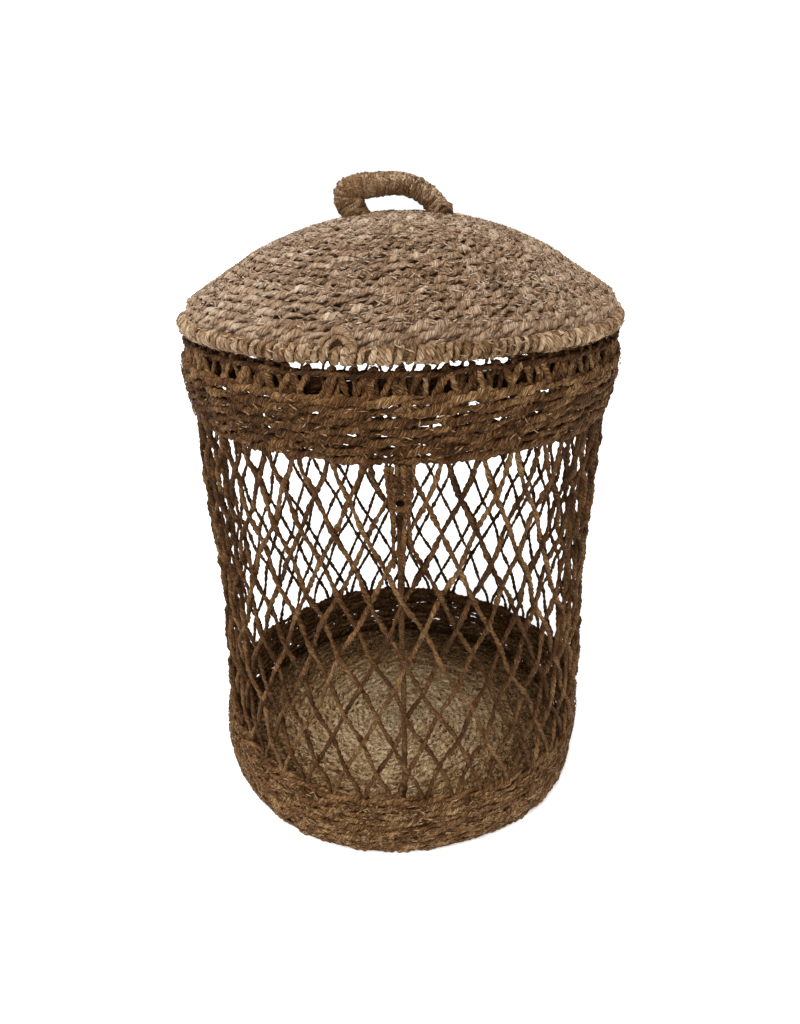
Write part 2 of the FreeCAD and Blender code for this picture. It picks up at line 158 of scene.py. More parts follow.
class Bundle:
    """Collects strands for one piece: points, faces and what the material needs of each."""

    def __init__(self):
        self.points, self.faces, self.fibre, self.tone = [], [], [], []
        self.count = 0

    def add(self, points, faces, fibre, tone):
        """Adds finished tubes; their faces count from their own first point."""
        self.points.append(points)
        self.faces.append(faces + self.count)
        self.fibre.append(fibre)
        self.tone.append(tone)
        self.count += len(points)

    def strands(self, paths, out, width, depth, seed, plies=2, twist=14 * MM, groove=0.3,
                closed=False, sides=9, tone=0.5, spread=0.10, rough=0.08):
        """Twisted strands along paths of shape (strands, points, 3), flat side facing out.

        width and depth are half sizes. twist is the length of one turn of the plies, groove
        how deep the furrows between them are, and rough how uneven the strand is. tone is
        from dark at 0 to light at 1, and spread is how far it varies.
        """
        rng = np.random.default_rng(seed)
        paths = np.asarray(paths, float)
        out = np.broadcast_to(out, paths.shape)
        paths = settle(paths)
        strands, points = paths.shape[:2]
        if closed:
            along = np.roll(paths, -1, 1) - np.roll(paths, 1, 1)
            steps = np.linalg.norm(np.roll(paths, -1, 1) - paths, axis=2)
        else:
            along = np.gradient(paths, axis=1)
            steps = np.linalg.norm(np.diff(paths, axis=1, append=paths[:, -1:]), axis=2)
        along /= np.linalg.norm(along, axis=2, keepdims=True) + 1e-12
        side = np.cross(along, out)
        side /= np.linalg.norm(side, axis=2, keepdims=True) + 1e-12
        face = np.cross(side, along)
        length = np.cumsum(steps, 1) - steps
        whole = length[:, -1:] + steps[:, -1:]
        start = rng.uniform(0, TURN, (strands, 1))
        if closed:
            turns = np.round(whole / abs(twist)) * math.copysign(1, twist)
            lay = TURN * turns * length / whole + start
        else:
            lay = TURN * length / twist + start + ripple(length, seed + 1, 0.5, 0.05)
        round_ = np.linspace(0, TURN, sides, endpoint=False)[None, None, :]
        turned = round_ - lay[..., None]
        shape = 1 - groove * (1 - np.abs(np.cos(plies / 2 * turned)))
        if closed:
            bumps = wander(TURN * length / whole, 0 * length, seed + 2, rough, (5, 40))
        else:
            bumps = ripple(length, seed + 2, rough, 0.03)
        grain = rng.normal(size=shape.shape) * rough * 0.55
        shape = shape * (1 + bumps[..., None] + (grain + np.roll(grain, 1, 1)) * 0.7)
        if not closed:
            ends = np.ones(points)
            ends[[0, -1]] = 0.15
            ends[[1, -2]] = 0.75
            shape = shape * ends[None, :, None]
        wide = np.broadcast_to(np.asarray(width, float), (strands, points))[..., None]
        deep = np.broadcast_to(np.asarray(depth, float), (strands, points))[..., None]
        across = (np.cos(round_) * wide * shape)[..., None]
        proud = (np.sin(round_) * deep * shape)[..., None]
        solid = paths[:, :, None] + side[:, :, None] * across + face[:, :, None] * proud
        size = np.minimum(wide, deep)
        offset = rng.uniform(0, 60, (strands, 1, 1))
        fibre = np.stack([
            np.cos(turned) * size / MM * 1.1 + offset,
            np.sin(turned) * size / MM * 1.1 + 0 * offset,
            np.broadcast_to(length[..., None] / (5 * MM), turned.shape) + offset,
        ], axis=-1)
        own = tone + spread * rng.uniform(-1, 1, (strands, 1))
        own = own + ripple(length, seed + 3, spread * 0.5, 0.06)
        own = np.broadcast_to(own[..., None], turned.shape)
        index = np.arange(strands * points * sides).reshape(strands, points, sides)
        ahead = np.roll(index, -1, 1)
        if not closed:
            index_a, ahead = index[:, :-1], ahead[:, :-1]
        else:
            index_a = index
        faces = np.stack([index_a, np.roll(index_a, -1, 2), np.roll(ahead, -1, 2), ahead], -1)
        self.add(solid.reshape(-1, 3), faces.reshape(-1, 4), fibre.reshape(-1, 3), own.ravel())

    def piece(self, name, material, body, slot, replaces=()):
        """Makes the Blender object, which rides on a body and may replace CAD nodes."""
        points = np.concatenate(self.points)
        faces = np.concatenate(self.faces)
        mesh = bpy.data.meshes.new(name)
        mesh.vertices.add(len(points))
        mesh.vertices.foreach_set("co", points.astype(np.float32).ravel())
        mesh.loops.add(faces.size)
        mesh.loops.foreach_set("vertex_index", faces.astype(np.int32).ravel())
        mesh.polygons.add(len(faces))
        mesh.polygons.foreach_set("loop_start", np.arange(0, faces.size, 4, dtype=np.int32))
        mesh.polygons.foreach_set("use_smooth", np.ones(len(faces), bool))
        fibre = mesh.attributes.new("fibre", "FLOAT_VECTOR", "POINT")
        fibre.data.foreach_set("vector", np.concatenate(self.fibre).astype(np.float32).ravel())
        # The lid's tone gets painted light on top of it: lighter to the left and top, with a
        # painted shaded patch at the front.
        shade = np.concatenate(self.tone) + (painted_light_on_lid(points) if body == "lid" else 0)
        tone = mesh.attributes.new("tone", "FLOAT", "POINT")
        tone.data.foreach_set("value", shade.astype(np.float32))
        mesh.update(calc_edges=True)
        mesh.materials.append(material)
        obj = bpy.data.objects.new(name, mesh)
        bpy.context.scene.collection.objects.link(obj)
        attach(obj, body)
        if replaces:
            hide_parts(*replaces)
        return obj


def polar(radius, angle, height):
    """Points from cylinder coordinates."""
    radius, angle, height = np.broadcast_arrays(radius, angle, height)
    return np.stack([radius * np.cos(angle), radius * np.sin(angle), height], -1)


def outward(angle, lift=0.0):
    """Unit directions away from the axis, lifted by an angle above the horizontal."""
    angle, lift = np.broadcast_arrays(angle, lift)
    return np.stack([np.cos(angle) * np.cos(lift), np.sin(angle) * np.cos(lift), np.sin(lift)], -1)


def smooth_line(points, step, rounds=4):
    """A smooth line near the corner points, cut into even steps."""
    line = np.asarray(points, float)
    for _ in range(rounds):
        ahead = 0.75 * line[:-1] + 0.25 * line[1:]
        behind = 0.25 * line[:-1] + 0.75 * line[1:]
        between = np.stack([ahead, behind], 1).reshape(-1, 3)
        line = np.concatenate([line[:1], between, line[-1:]])
    reach = np.concatenate([[0], np.cumsum(np.linalg.norm(np.diff(line, axis=0), axis=1))])
    count = max(4, int(reach[-1] / step))
    even = np.linspace(0, reach[-1], count)
    return np.stack([np.interp(even, reach, line[:, axis]) for axis in range(3)], -1)


def twined_row(bundle, radius, height, lift, stitches, swing, slant, width, depth, seed,
               step=2.4 * MM, **finish):
    """Two strands that pass each other in front of and behind the warps of one row."""
    rng = np.random.default_rng(seed)
    count = int(TURN * radius / step)
    angle = np.linspace(0, TURN, count, endpoint=False)
    drift = wander(angle, 0, seed + 5, 0.16 * TURN / stitches * 2, (3, 17))
    turn = stitches / 2 * (angle + drift / 2) + rng.uniform(-0.9, 0.9)
    strength = 1 + wander(angle, 0, seed + 6, 0.10, (5, 40))
    creep = wander(angle, 0, seed + 7, 0.45 * MM, (4, 30))
    paths = []
    for strand in (0, math.pi):
        over = swing * strength * np.cos(turn + strand)
        up = slant * np.sin(turn + strand) + creep
        reach = radius + over * math.cos(lift) - up * math.sin(lift)
        paths.append(polar(reach, angle, height + over * math.sin(lift) + up * math.cos(lift)))
    out = outward(angle, lift)[None]
    bundle.strands(np.array(paths), out, width, depth, seed, closed=True, **finish)


def tangle(bundle, centre, reach, loops, thick, seed, tone):
    """A compact knot: closed turns of strand round one middle, each in its own plane."""
    rng = np.random.default_rng(seed)
    turn = np.linspace(0, TURN, 40, endpoint=False)[:, None]
    for number in range(loops):
        first = rng.normal(size=3)
        first /= np.linalg.norm(first)
        second = np.cross(first, rng.normal(size=3))
        second /= np.linalg.norm(second)
        spin = first * np.cos(turn) + second * np.sin(turn)
        size = rng.uniform(0.72, 1.0)
        line = np.asarray(centre) + spin * np.asarray(reach) * size
        bundle.strands(line[None], spin[None], thick, thick * 0.85, seed + number,
                       closed=True, twist=11 * MM, groove=0.4, sides=8, tone=tone)


def loose_fibres(name, material, body, slot, seed, count, profile, tone=0.6,
                 thick=0.75 * MM):
    """Fine broken fibres that lie on a turned surface, given by its (radius, height) line."""
    rng = np.random.default_rng(seed)
    radius, height = np.array(profile).T
    run, rise = np.diff(radius), np.diff(height)
    reach = np.concatenate([[0], np.cumsum(np.hypot(run, rise))])
    area = np.concatenate([[0], np.cumsum(np.hypot(run, rise) * (radius[1:] + radius[:-1]))])
    start = np.interp(rng.uniform(0, area[-1], (count, 1)), area, reach)
    share = np.linspace(-1, 1, 5)[None]
    half = rng.uniform(1.8, 4.5, (count, 1)) * MM
    tilt = rng.normal(0, 0.55, (count, 1))
    at = np.clip(start + half * share * np.sin(tilt), 0, reach[-1])
    lean = np.interp(at, reach, np.append(np.arctan2(-run, rise), math.atan2(-run[-1], rise[-1])))
    off = (0.2 + rng.uniform(-0.6, 1.2, (count, 1)) * share ** 2
           + rng.uniform(-0.5, 0.5, (count, 1)) * share) * MM
    near = np.interp(at, reach, radius) + off * np.cos(lean)
    angle = rng.uniform(0, TURN, (count, 1)) + half * share * np.cos(tilt) / (near + 10 * MM)
    line = polar(near, angle, np.interp(at, reach, height) + off * np.sin(lean))
    bundle = Bundle()
    bundle.strands(line, outward(angle, lean), thick, thick * 0.6, seed + 1, groove=0,
                   sides=3, rough=0, tone=tone, spread=0.28)
    bundle.piece(name, material, body, slot)


# ---------------------------------------------------------------- materials


class Paint:
    """A material under construction, with short ways to add and join its nodes."""

    def __init__(self, name):
        self.material = bpy.data.materials.new(name)
        self.material.use_nodes = True
        self.tree = self.material.node_tree
        self.shader = self.tree.nodes["Principled BSDF"]
        self.join = self.tree.links.new

    def add(self, kind, **values):
        """A new node. Each value sets the input of that name, or else the property."""
        made = self.tree.nodes.new(kind)
        for key, value in values.items():
            if key in made.inputs:
                made.inputs[key].default_value = value
            else:
                setattr(made, key, value)
        return made

    def noise(self, vector, **values):
        """The value of a noise texture at a vector."""
        made = self.add("ShaderNodeTexNoise", **values)
        self.join(vector, made.inputs["Vector"])
        return made.outputs["Fac"]

    def scaled(self, value, times, plus=0.0):
        """value * times + plus, where plus is a number or an output."""
        made = self.add("ShaderNodeMath", operation="MULTIPLY_ADD")
        self.join(value, made.inputs[0])
        made.inputs[1].default_value = times
        if isinstance(plus, float):
            made.inputs[2].default_value = plus
        else:
            self.join(plus, made.inputs[2])
        return made.outputs[0]

    def ranged(self, value, first, last, start=0.0, end=1.0):
        """value carried from the range start to end to the range first to last."""
        made = self.add("ShaderNodeMapRange")
        for name, number in (("From Min", start), ("From Max", end),
                             ("To Min", first), ("To Max", last)):
            made.inputs[name].default_value = number
        self.join(value, made.inputs["Value"])
        return made.outputs["Result"]

    def ramp(self, value, stops):
        """The colour at a value, between stops of (position, colour)."""
        made = self.add("ShaderNodeValToRGB")
        bar = made.color_ramp
        for element, (position, colour) in zip(bar.elements, (stops[0], stops[-1])):
            element.position, element.color = position, (*colour, 1)
        for position, colour in stops[1:-1]:
            bar.elements.new(position).color = (*colour, 1)
        self.join(value, made.inputs["Fac"])
        return made.outputs["Color"]

    def tinted(self, colour, tint, share):
        """A colour multiplied by a tint, in the share that an output gives."""
        made = self.add("ShaderNodeMix", data_type="RGBA", blend_type="MULTIPLY")
        colours = [socket for socket in made.inputs if socket.type == "RGBA"]
        factor = [s for s in made.inputs if s.name == "Factor" and s.type == "VALUE"][0]
        self.join(colour, colours[0])
        colours[1].default_value = (*tint, 1)
        self.join(share, factor)
        return [socket for socket in made.outputs if socket.type == "RGBA"][0]


def seagrass(name, stops, patch):
    """Dry twisted leaf: streaks along the fibre, a tone for each strand and larger patches."""
    paint = Paint(name)
    paint.shader.inputs["Specular IOR Level"].default_value = 0.08
    fibre = paint.add("ShaderNodeAttribute", attribute_name="fibre").outputs["Vector"]
    tone = paint.add("ShaderNodeAttribute", attribute_name="tone").outputs["Fac"]
    place = paint.add("ShaderNodeTexCoord").outputs["Object"]
    streaks = paint.noise(fibre, Scale=1.3, Detail=5.0, Roughness=0.62)
    flecks = paint.noise(fibre, Scale=0.78, Detail=3.0, Roughness=0.7)
    patches = paint.noise(place, Scale=26.0, Detail=3.0, Roughness=0.55)

    level = paint.scaled(streaks, 2.1, paint.scaled(tone, 0.75, -0.93))
    colour = paint.ramp(level, stops)
    colour = paint.tinted(colour, patch, paint.ranged(patches, 0.0, 0.5, 0.42, 0.72))
    dark = paint.ranged(flecks, 0.45, 0.0, 0.30, 0.42)
    colour = paint.tinted(colour, (0.42, 0.34, 0.27), dark)
    paint.join(colour, paint.shader.inputs["Base Color"])
    paint.join(paint.ranged(streaks, 0.62, 0.85), paint.shader.inputs["Roughness"])
    bump = paint.add("ShaderNodeBump", Strength=0.9, Distance=0.7 * MM)
    paint.join(streaks, bump.inputs["Height"])
    paint.join(bump.outputs["Normal"], paint.shader.inputs["Normal"])
    return paint.material


def steel(name):
    """Drawn wire: grey with fine scratches along it."""
    paint = Paint(name)
    paint.shader.inputs["Metallic"].default_value = 0.9
    place = paint.add("ShaderNodeTexCoord").outputs["Object"]
    scratches = paint.noise(place, Scale=180.0, Detail=4.0)
    colour = paint.ramp(scratches, [(0.0, (0.16, 0.14, 0.12)), (1.0, (0.42, 0.40, 0.37))])
    paint.join(colour, paint.shader.inputs["Base Color"])
    paint.join(paint.ranged(scratches, 0.3, 0.55), paint.shader.inputs["Roughness"])
    return paint.material


BODY = seagrass(
    "seagrass_body",
    [(0.16, (0.016, 0.006, 0.002)), (0.40, (0.064, 0.027, 0.009)),
     (0.55, (0.124, 0.059, 0.021)), (0.72, (0.243, 0.133, 0.054)),
     (0.94, (0.490, 0.335, 0.185))],
    patch=(0.80, 0.64, 0.48),
)
LID = seagrass(
    "seagrass_lid",
    [(0.16, (0.070, 0.036, 0.018)), (0.40, (0.185, 0.110, 0.062)),
     (0.55, (0.290, 0.185, 0.113)), (0.72, (0.430, 0.305, 0.205)),
     (0.94, (0.640, 0.520, 0.400))],
    patch=(0.84, 0.72, 0.60),
)
ROLL = seagrass(
    "seagrass_roll",
    [(0.16, (0.046, 0.022, 0.009)), (0.40, (0.138, 0.074, 0.033)),
     (0.55, (0.225, 0.130, 0.065)), (0.72, (0.345, 0.224, 0.130)),
     (0.94, (0.550, 0.415, 0.280))],
    patch=(0.82, 0.70, 0.56),
)
MAT = seagrass(
    "seagrass_mat",
    [(0.16, (0.052, 0.025, 0.009)), (0.40, (0.205, 0.112, 0.047)),
     (0.55, (0.370, 0.225, 0.102)), (0.72, (0.590, 0.410, 0.215)),
     (0.94, (0.850, 0.680, 0.450))],
    patch=(0.78, 0.68, 0.52),
)
STEEL = steel("frame_wire")


# ---------------------------------------------------------------- bands and floor


def make_floor_mat():
    """Flat twined floor: rings of short stitches over radiating spokes."""
    bundles = [Bundle(), Bundle()]
    reach = outer("floor_mat") + 6 * MM
    height = middle("floor_mat")
    pitch = 7.2 * MM
    rows = int(reach / pitch)
    for row in range(rows):
        radius = reach - pitch * (row + 0.5)
        limits = ((125, 84), (70, 56), (36, 28), (18, 14), (0, 8))
        stitches = [count for limit, count in limits if radius >= limit * MM][0]
        # Painted shade: the mat's tone runs from light in the middle to dark near the wall, where
        # the wall and lid shade it.
        tone = float(np.interp(radius / MM, [30, 70, 110, 150, 190],
                               [0.94, 0.84, 0.56, 0.35, 0.22]))
        tone += 0.09 * math.sin(2.1 * row) * math.cos(0.9 * row)
        twined_row(
            bundles[row < 8], radius, height, math.pi / 2, stitches, 1.4 * MM, 1.3 * MM,
            3.2 * MM, 1.8 * MM, 900 + 11 * row, step=2.0 * MM, twist=11 * MM, groove=0.4,
            sides=7, rough=0.16, tone=tone, spread=0.14,
        )
    under = Bundle()
    angle = np.linspace(0, TURN, 200, endpoint=False)
    for row in range(rows + 1):
        line = polar(reach + 1 * MM - pitch * row, angle, height - 1.2 * MM)
        under.strands(line[None], (0, 0, 1), 4.6 * MM, 1.0 * MM, 1150 + row, groove=0.2,
                      closed=True, twist=30 * MM, sides=6, tone=0.36)
    under.piece("floor_weave_under", MAT, "basket", "seagrass_mat")
    tangle(bundles[0], (0, 0, height), np.array([7, 7, 1.2]) * MM, 7, 2.4 * MM, 890, 0.5)
    spokes = 40
    share = np.linspace(0, 1, 60)
    angle = (np.arange(spokes) + 0.5)[:, None] * TURN / spokes
    start = np.where(np.arange(spokes) % 2, 64 * MM, 8 * MM)[:, None]
    radius = start + (reach - start) * share[None]
    paths = polar(radius, angle, np.full_like(radius, height))
    bundles[0].strands(paths, (0, 0, 1), 1.9 * MM, 1.5 * MM, 880, sides=6, tone=0.45)
    bundles[0].piece("floor_weave_inner", MAT, "basket", "seagrass_mat", ["floor_mat"])
    bundles[1].piece("floor_weave_outer", MAT, "basket", "seagrass_mat", ["floor_spokes"])
    crest = height + 2.6 * MM
    # Painted shade in the fibres too: light fibres in the middle, dark ones towards the wall.
    loose_fibres("floor_fibres_inner", MAT, "basket", "seagrass_mat", 4400, 2600,
                 [(0.13, crest), (0.004, crest)], 0.74, 1.0 * MM)
    loose_fibres("floor_fibres_outer", MAT, "basket", "seagrass_mat", 4450, 1900,
                 [(reach - 8 * MM, crest), (0.13, crest)], 0.34, 1.0 * MM)


def make_band(name, nodes, seed, tone, fibres):
    """A closely twined band, one row of two twisted strands for each CAD row."""
    bundle = Bundle()
    for row, node in enumerate(nodes):
        depth, swing = 2.2 * MM, 2.3 * MM
        height, slant, proud = middle(node), 1.7 * MM, 1.3 * MM
        if bottom(node) < 1 * MM:
            height, slant, proud = height + 0.7 * MM, 0.3 * MM, 2.5 * MM
        twined_row(
            bundle, outer(node) + proud - swing - depth, height, 0.0, CORDS, swing, slant,
            3.5 * MM, depth, seed + 13 * row, step=1.8 * MM, twist=14 * MM, groove=0.42,
            sides=9, rough=0.2, tone=tone, spread=0.16,
        )
    bundle.piece(name, BODY, "basket", "seagrass_body", nodes)
    line = [(outer(node) + 0.8 * MM, middle(node)) for node in nodes]
    loose_fibres(f"{name}_fibres", BODY, "basket", "seagrass_body", seed + 900,
                 fibres * len(nodes), line, tone + 0.06)


def make_foot_hoop():
    """The foot hoop, bound in strands, where the floor meets the wall."""
    bundle = Bundle()
    low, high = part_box("foot_hoop")
    wire = (high[2] - low[2]) / 2
    angle = np.linspace(0, TURN, 700, endpoint=False)
    for strand in range(2):
        turn = 95 * angle + strand * math.pi
        line = polar(
            outer("foot_hoop") - wire + 1.5 * MM * np.cos(turn), angle,
            middle("foot_hoop") + 1.5 * MM * np.sin(turn),
        )
        bundle.strands(line[None], outward(angle)[None], 2.0 * MM, 2.0 * MM, 860 + strand,
                       closed=True, sides=7, tone=0.35)
    bundle.piece("foot_hoop_bound", BODY, "basket", "seagrass_body", ["foot_hoop"])


# ---------------------------------------------------------------- lattice


def wall_radius(height):
    """Outer radius of the lattice wall: drawn in from both bands to a waist."""
    share = np.clip((height - LATTICE_LOW) / (LATTICE_HIGH - LATTICE_LOW), 0, 1)
    ends = outer("lower_row_9") * (1 - share) + outer("upper_row_1") * share
    draw = (outer("lower_row_9") + outer("upper_row_1")) / 2 - WAIST
    return ends - draw * np.sin(math.pi * share)


def band_radius(height):
    """Radius that the warps keep inside the two bands."""
    heights = [middle(node) for node in LOWER + UPPER]
    return np.interp(height, heights, [outer(node) - 3.4 * MM for node in LOWER + UPPER])


def lattice_paths(direction):
    """All cords that lean one way, from the foot up through both bands."""
    height = np.arange(bottom("lower_row_1") + 3 * MM, top("upper_row_7") - 1 * MM, 1.75 * MM)
    share = np.clip((height - LATTICE_LOW) / (LATTICE_HIGH - LATTICE_LOW), 0, 1)
    kernel = np.exp(-0.5 * (np.arange(-6, 7) / 2.2) ** 2)
    eased = np.convolve(np.pad(share, 6, mode="edge"), kernel / kernel.sum(), "valid")
    near_end = np.clip(np.minimum(eased, 1 - eased) * 2 * CROSSINGS, 0, 1)
    near_end = near_end * near_end * (3 - 2 * near_end)
    index = np.arange(CORDS)[:, None]
    aside = direction * math.radians(0.62) * (1 - near_end) * np.where(eased > 0.5, -1, 1)
    angle = LATTICE_FIRST + index * TURN / CORDS + direction * LATTICE_TURN * eased + aside
    angle = np.broadcast_to(angle, (CORDS, len(height))).copy()
    over = direction * 1.9 * MM * np.cos(CROSSINGS * math.pi * eased) * near_end
    wall = np.where(near_end > 0, wall_radius(height) - 3.0 * MM, 0)
    radius = wall * near_end + band_radius(height) * (1 - near_end) + over
    radius = np.broadcast_to(radius, angle.shape).copy()
    high = np.broadcast_to(height, angle.shape).copy()
    loose = np.abs(np.sin(math.pi * eased)) ** 0.6
    angle += loose * wander(angle, high, 31, 0.0060, (5, 19), 0.14, 16)
    high += loose * wander(angle, high, 32, 1.6 * MM, (5, 17), 0.14, 16)
    radius += loose * wander(angle, high, 33, 1.0 * MM, (4, 12), 0.15)
    rng = np.random.default_rng(40 + direction)
    angle += loose * ripple(high, 41 + direction, 0.0022, 0.16)
    angle += loose * rng.uniform(-0.003, 0.003, (CORDS, 1))
    return polar(radius, angle, high), angle


def make_lattice():
    """The two sets of cords that cross, over and under each other."""
    for direction, word in ((1, "right"), (-1, "left")):
        bundle = Bundle()
        paths, angle = lattice_paths(direction)
        bundle.strands(
            paths, outward(angle), 2.35 * MM, 2.3 * MM, 50 + direction, twist=13 * MM,
            groove=0.42, sides=8, rough=0.16, tone=0.43, spread=0.14,
        )
        bundle.piece(
            f"lattice_{word}", BODY, "basket", "seagrass_body", [f"lattice_cords_{word}"]
        )


def make_uprights():
    """Four wires wrapped in seagrass, up the inside of the wall."""
    bundle = Bundle()
    names = ("right", "back", "left", "front")
    for number, name in enumerate(names):
        node = f"{name}_upright"
        angle = number * TURN / 4
        corners = [
            polar(UPRIGHT_RADIUS, angle, bottom(node)), polar(UPRIGHT_RADIUS, angle, 0.2),
            polar(UPRIGHT_RADIUS, angle, bottom("upper_row_1")),
            polar(UPRIGHT_RIM, angle, top(node)),
        ]
        line = smooth_line(corners, 2.2 * MM)
        bundle.strands(
            line[None], outward(np.full(len(line), angle))[None], 2.7 * MM, 2.7 * MM,
            70 + number, plies=3, twist=9 * MM, groove=0.25, sides=10, tone=0.62,
        )
    bundle.piece(
        "uprights", BODY, "basket", "seagrass_body", [f"{name}_upright" for name in names]
    )


# ---------------------------------------------------------------- rim


def make_rim_legs(rng, border, rope):
    """Tangled legs above the upper band and the rope that holds their tops."""
    start = top("upper_row_7") - 6 * MM
    band = outer("upper_row_7") - 4.4 * MM
    legs = Bundle()
    share = np.linspace(0, 1, 14)
    for number in range(3 * CORDS):
        lean = 1 if number % 2 else -1
        angle = LATTICE_FIRST + LATTICE_TURN + number // 2 * TURN / CORDS / 1.5 + lean * 0.011
        lean *= rng.choice([1.0, 1.0, -1.2]) * rng.uniform(0.7, 1.3)
        travel = angle + lean * 0.046 * share ** 1.3
        depth = rng.uniform(-1.8, 1.8) * MM
        radius = band * (1 - share) + (border + depth) * share
        line = polar(radius, travel, start + (rope + 2 * MM - start) * share)
        legs.strands(
            line[None], outward(travel)[None], 2.9 * MM, 2.2 * MM, 200 + number,
            twist=13 * MM, groove=0.4, sides=8, rough=0.16, tone=0.5, spread=0.2,
        )
    for number in range(260):
        angle = rng.uniform(0, TURN)
        travel = angle + rng.uniform(-0.08, 0.08) * share
        inset = rng.uniform(-6.5, 0.5) * MM
        radius = band * (1 - share) + (border + inset) * share
        line = polar(radius, travel, start + (rope + 1.5 * MM - start) * share)
        legs.strands(
            line[None], outward(travel)[None], 2.3 * MM, 1.6 * MM, 900 + number,
            twist=12 * MM, groove=0.4, sides=7, tone=0.44, spread=0.24,
        )
    for number, height in enumerate(BACKING_HEIGHTS):
        twined_row(
            legs, border - 8.0 * MM, height * MM, 0.0, 56, 1.8 * MM, 1.2 * MM, 2.7 * MM,
            1.8 * MM, 600 + number, twist=15 * MM, sides=7, tone=0.3, spread=0.12,
        )
    twined_row(
        legs, border, rope, 0.0, 84, 1.9 * MM, 0.6 * MM, 2.0 * MM, 2.0 * MM, 610,
        twist=13 * MM, groove=0.4, sides=8, rough=0.16, tone=0.3, spread=0.18,
    )
    legs.piece("rim_legs_twisted", BODY, "basket", "seagrass_body", ["rim_legs"])


def make_rim_loops(rng, border, rope):
    """Loops that stand on the rope, under the lid."""
    crest = top("rim_border")
    loops = Bundle()
    for number in range(RIM_LOOPS):
        angle = number * TURN / RIM_LOOPS + rng.uniform(-0.014, 0.014)
        lean = rng.uniform(-0.002, 0.003)
        half = rng.uniform(1.2, 2.0) * MM / border
        tall = crest - 1.2 * MM + rng.uniform(-0.6, 0.2) * MM
        corners = [
            polar(border - 2 * MM, angle - half - lean, rope - 6 * MM),
            polar(border, angle - half, rope + 1 * MM),
            polar(border, angle - half + lean, tall),
            polar(border - 1.5 * MM, angle + half + lean, tall),
            polar(border - 1 * MM, angle + half, rope + 1 * MM),
            polar(border - 2 * MM, angle + half + lean, rope - 6 * MM),
        ]
        line = smooth_line(corners, 1.3 * MM, 3)
        loops.strands(
            line[None], outward(np.full(len(line), angle))[None], 2.1 * MM, 1.8 * MM,
            700 + number, twist=10 * MM, groove=0.4, sides=8, tone=0.3, spread=0.10,
        )
    loops.piece("rim_loops", BODY, "basket", "seagrass_body", ["rim_border"])


def make_rim():
    """The open edge of the basket, with its wire behind the rope."""
    rng = np.random.default_rng(5)
    border, rope = outer("rim_border") - 3.6 * MM, bottom("rim_border") + 0.8 * MM
    make_rim_legs(rng, border, rope)
    make_rim_loops(rng, border, rope)
    hoop = Bundle()
    angle = np.linspace(0, TURN, 240, endpoint=False)
    line = polar(border - 3.5 * MM, angle, np.full(240, rope - 1.5 * MM))
    hoop.strands(line[None], outward(angle)[None], 2 * MM, 2 * MM, 790, groove=0, rough=0,
                 closed=True, sides=12)
    hoop.piece("rim_wire", STEEL, "basket", "frame_wire", ["rim_hoop"])


def make_front_knot():
    """The binding high on the front of the lattice: a sheaf of cords, an eye and tails."""
    low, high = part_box("front_lashing")
    face = -wall_radius(0.38) - 1.5 * MM
    eye = low[2] + 7.5 * MM
    top_z = (high[2] - eye) / MM + 1
    cords = [
        [(-11, 3, top_z), (-10, 0, 28), (-9, -1, 14), (-8, 0, 2), (-6, 2, -10)],
        [(-7, 2, top_z), (-6, -2, 28), (-6, -3, 15), (-7, -2, 2), (-5, -1, -14), (-5, 3, -60)],
        [(-3, 2, top_z), (-2, -2, 30), (-2, -3, 18), (-5, -3, 7), (-5, -2, -3), (-6, 2, -22)],
        [(1, 2, top_z), (2, -3, 30), (2, -4, 18), (5, -3, 7), (5, -2, -3), (3, -1, -20),
         (3, 3, -58)],
        [(5, 2, top_z), (6, -2, 28), (5, -3, 15), (7, -2, 2), (6, -1, -14), (9, 3, -50)],
        [(10, 3, top_z), (10, 0, 30), (9, -1, 16), (8, 0, 4), (6, 2, -9)],
    ]
    bundle = Bundle()
    for number, cord in enumerate(cords):
        corners = [(x * MM, face + y * MM, eye + z * MM) for x, y, z in cord]
        line = smooth_line(corners, 1.8 * MM)
        thick = np.interp(np.linspace(0, 1, len(line)), [0, 0.5, 1], [2.7, 2.2, 1.9]) * MM
        bundle.strands(line[None], (0, -1, 0), thick, thick * 0.85, 830 + number,
                       twist=13 * MM, groove=0.4, sides=8, rough=0.16, tone=0.45)
    round_ = np.linspace(0, TURN, 44, endpoint=False)
    # The small ring, tone 0.02, is a near-black plug set back in the eye: painted shade of the
    # hole.
    for reach, forward, tone in ((5.2, 4.5, 0.4), (2.2, 0.5, 0.02)):
        ring = np.stack([reach * MM * np.cos(round_), face - forward * MM + 0 * round_,
                         eye + reach * MM * np.sin(round_)], -1)
        bundle.strands(ring[None], (0, -1, 0), 2.3 * MM, 2.1 * MM, 821, closed=True,
                       twist=9 * MM, sides=8, rough=0.16, tone=tone)
    for height in (20, 15):
        band = np.stack([8.5 * MM * np.cos(round_), face - 1 * MM + 3.6 * MM * np.sin(round_),
                         eye + (height + 1.5 * np.cos(round_)) * MM], -1)
        bundle.strands(band[None], (0, -1, 0), 2.2 * MM, 1.6 * MM, 822 + height, closed=True,
                       twist=9 * MM, sides=8, rough=0.16, tone=0.3)
    bundle.piece("front_knot", BODY, "basket", "seagrass_body", ["front_lashing"])


# ---------------------------------------------------------------- lid


def dome(radius):
    """Height of the lid's outer face: a round cap and a straight skirt."""
    rise = APEX - SHOULDER[1]
    ball = (SHOULDER[0] ** 2 + rise ** 2) / (2 * rise)
    cap = APEX - ball + np.sqrt(ball ** 2 - np.minimum(radius, SHOULDER[0]) ** 2)
    slope = (SHOULDER[1] - SKIRT[1]) / (SKIRT[0] - SHOULDER[0])
    return np.where(radius < SHOULDER[0], cap, SHOULDER[1] - slope * (radius - SHOULDER[0]))


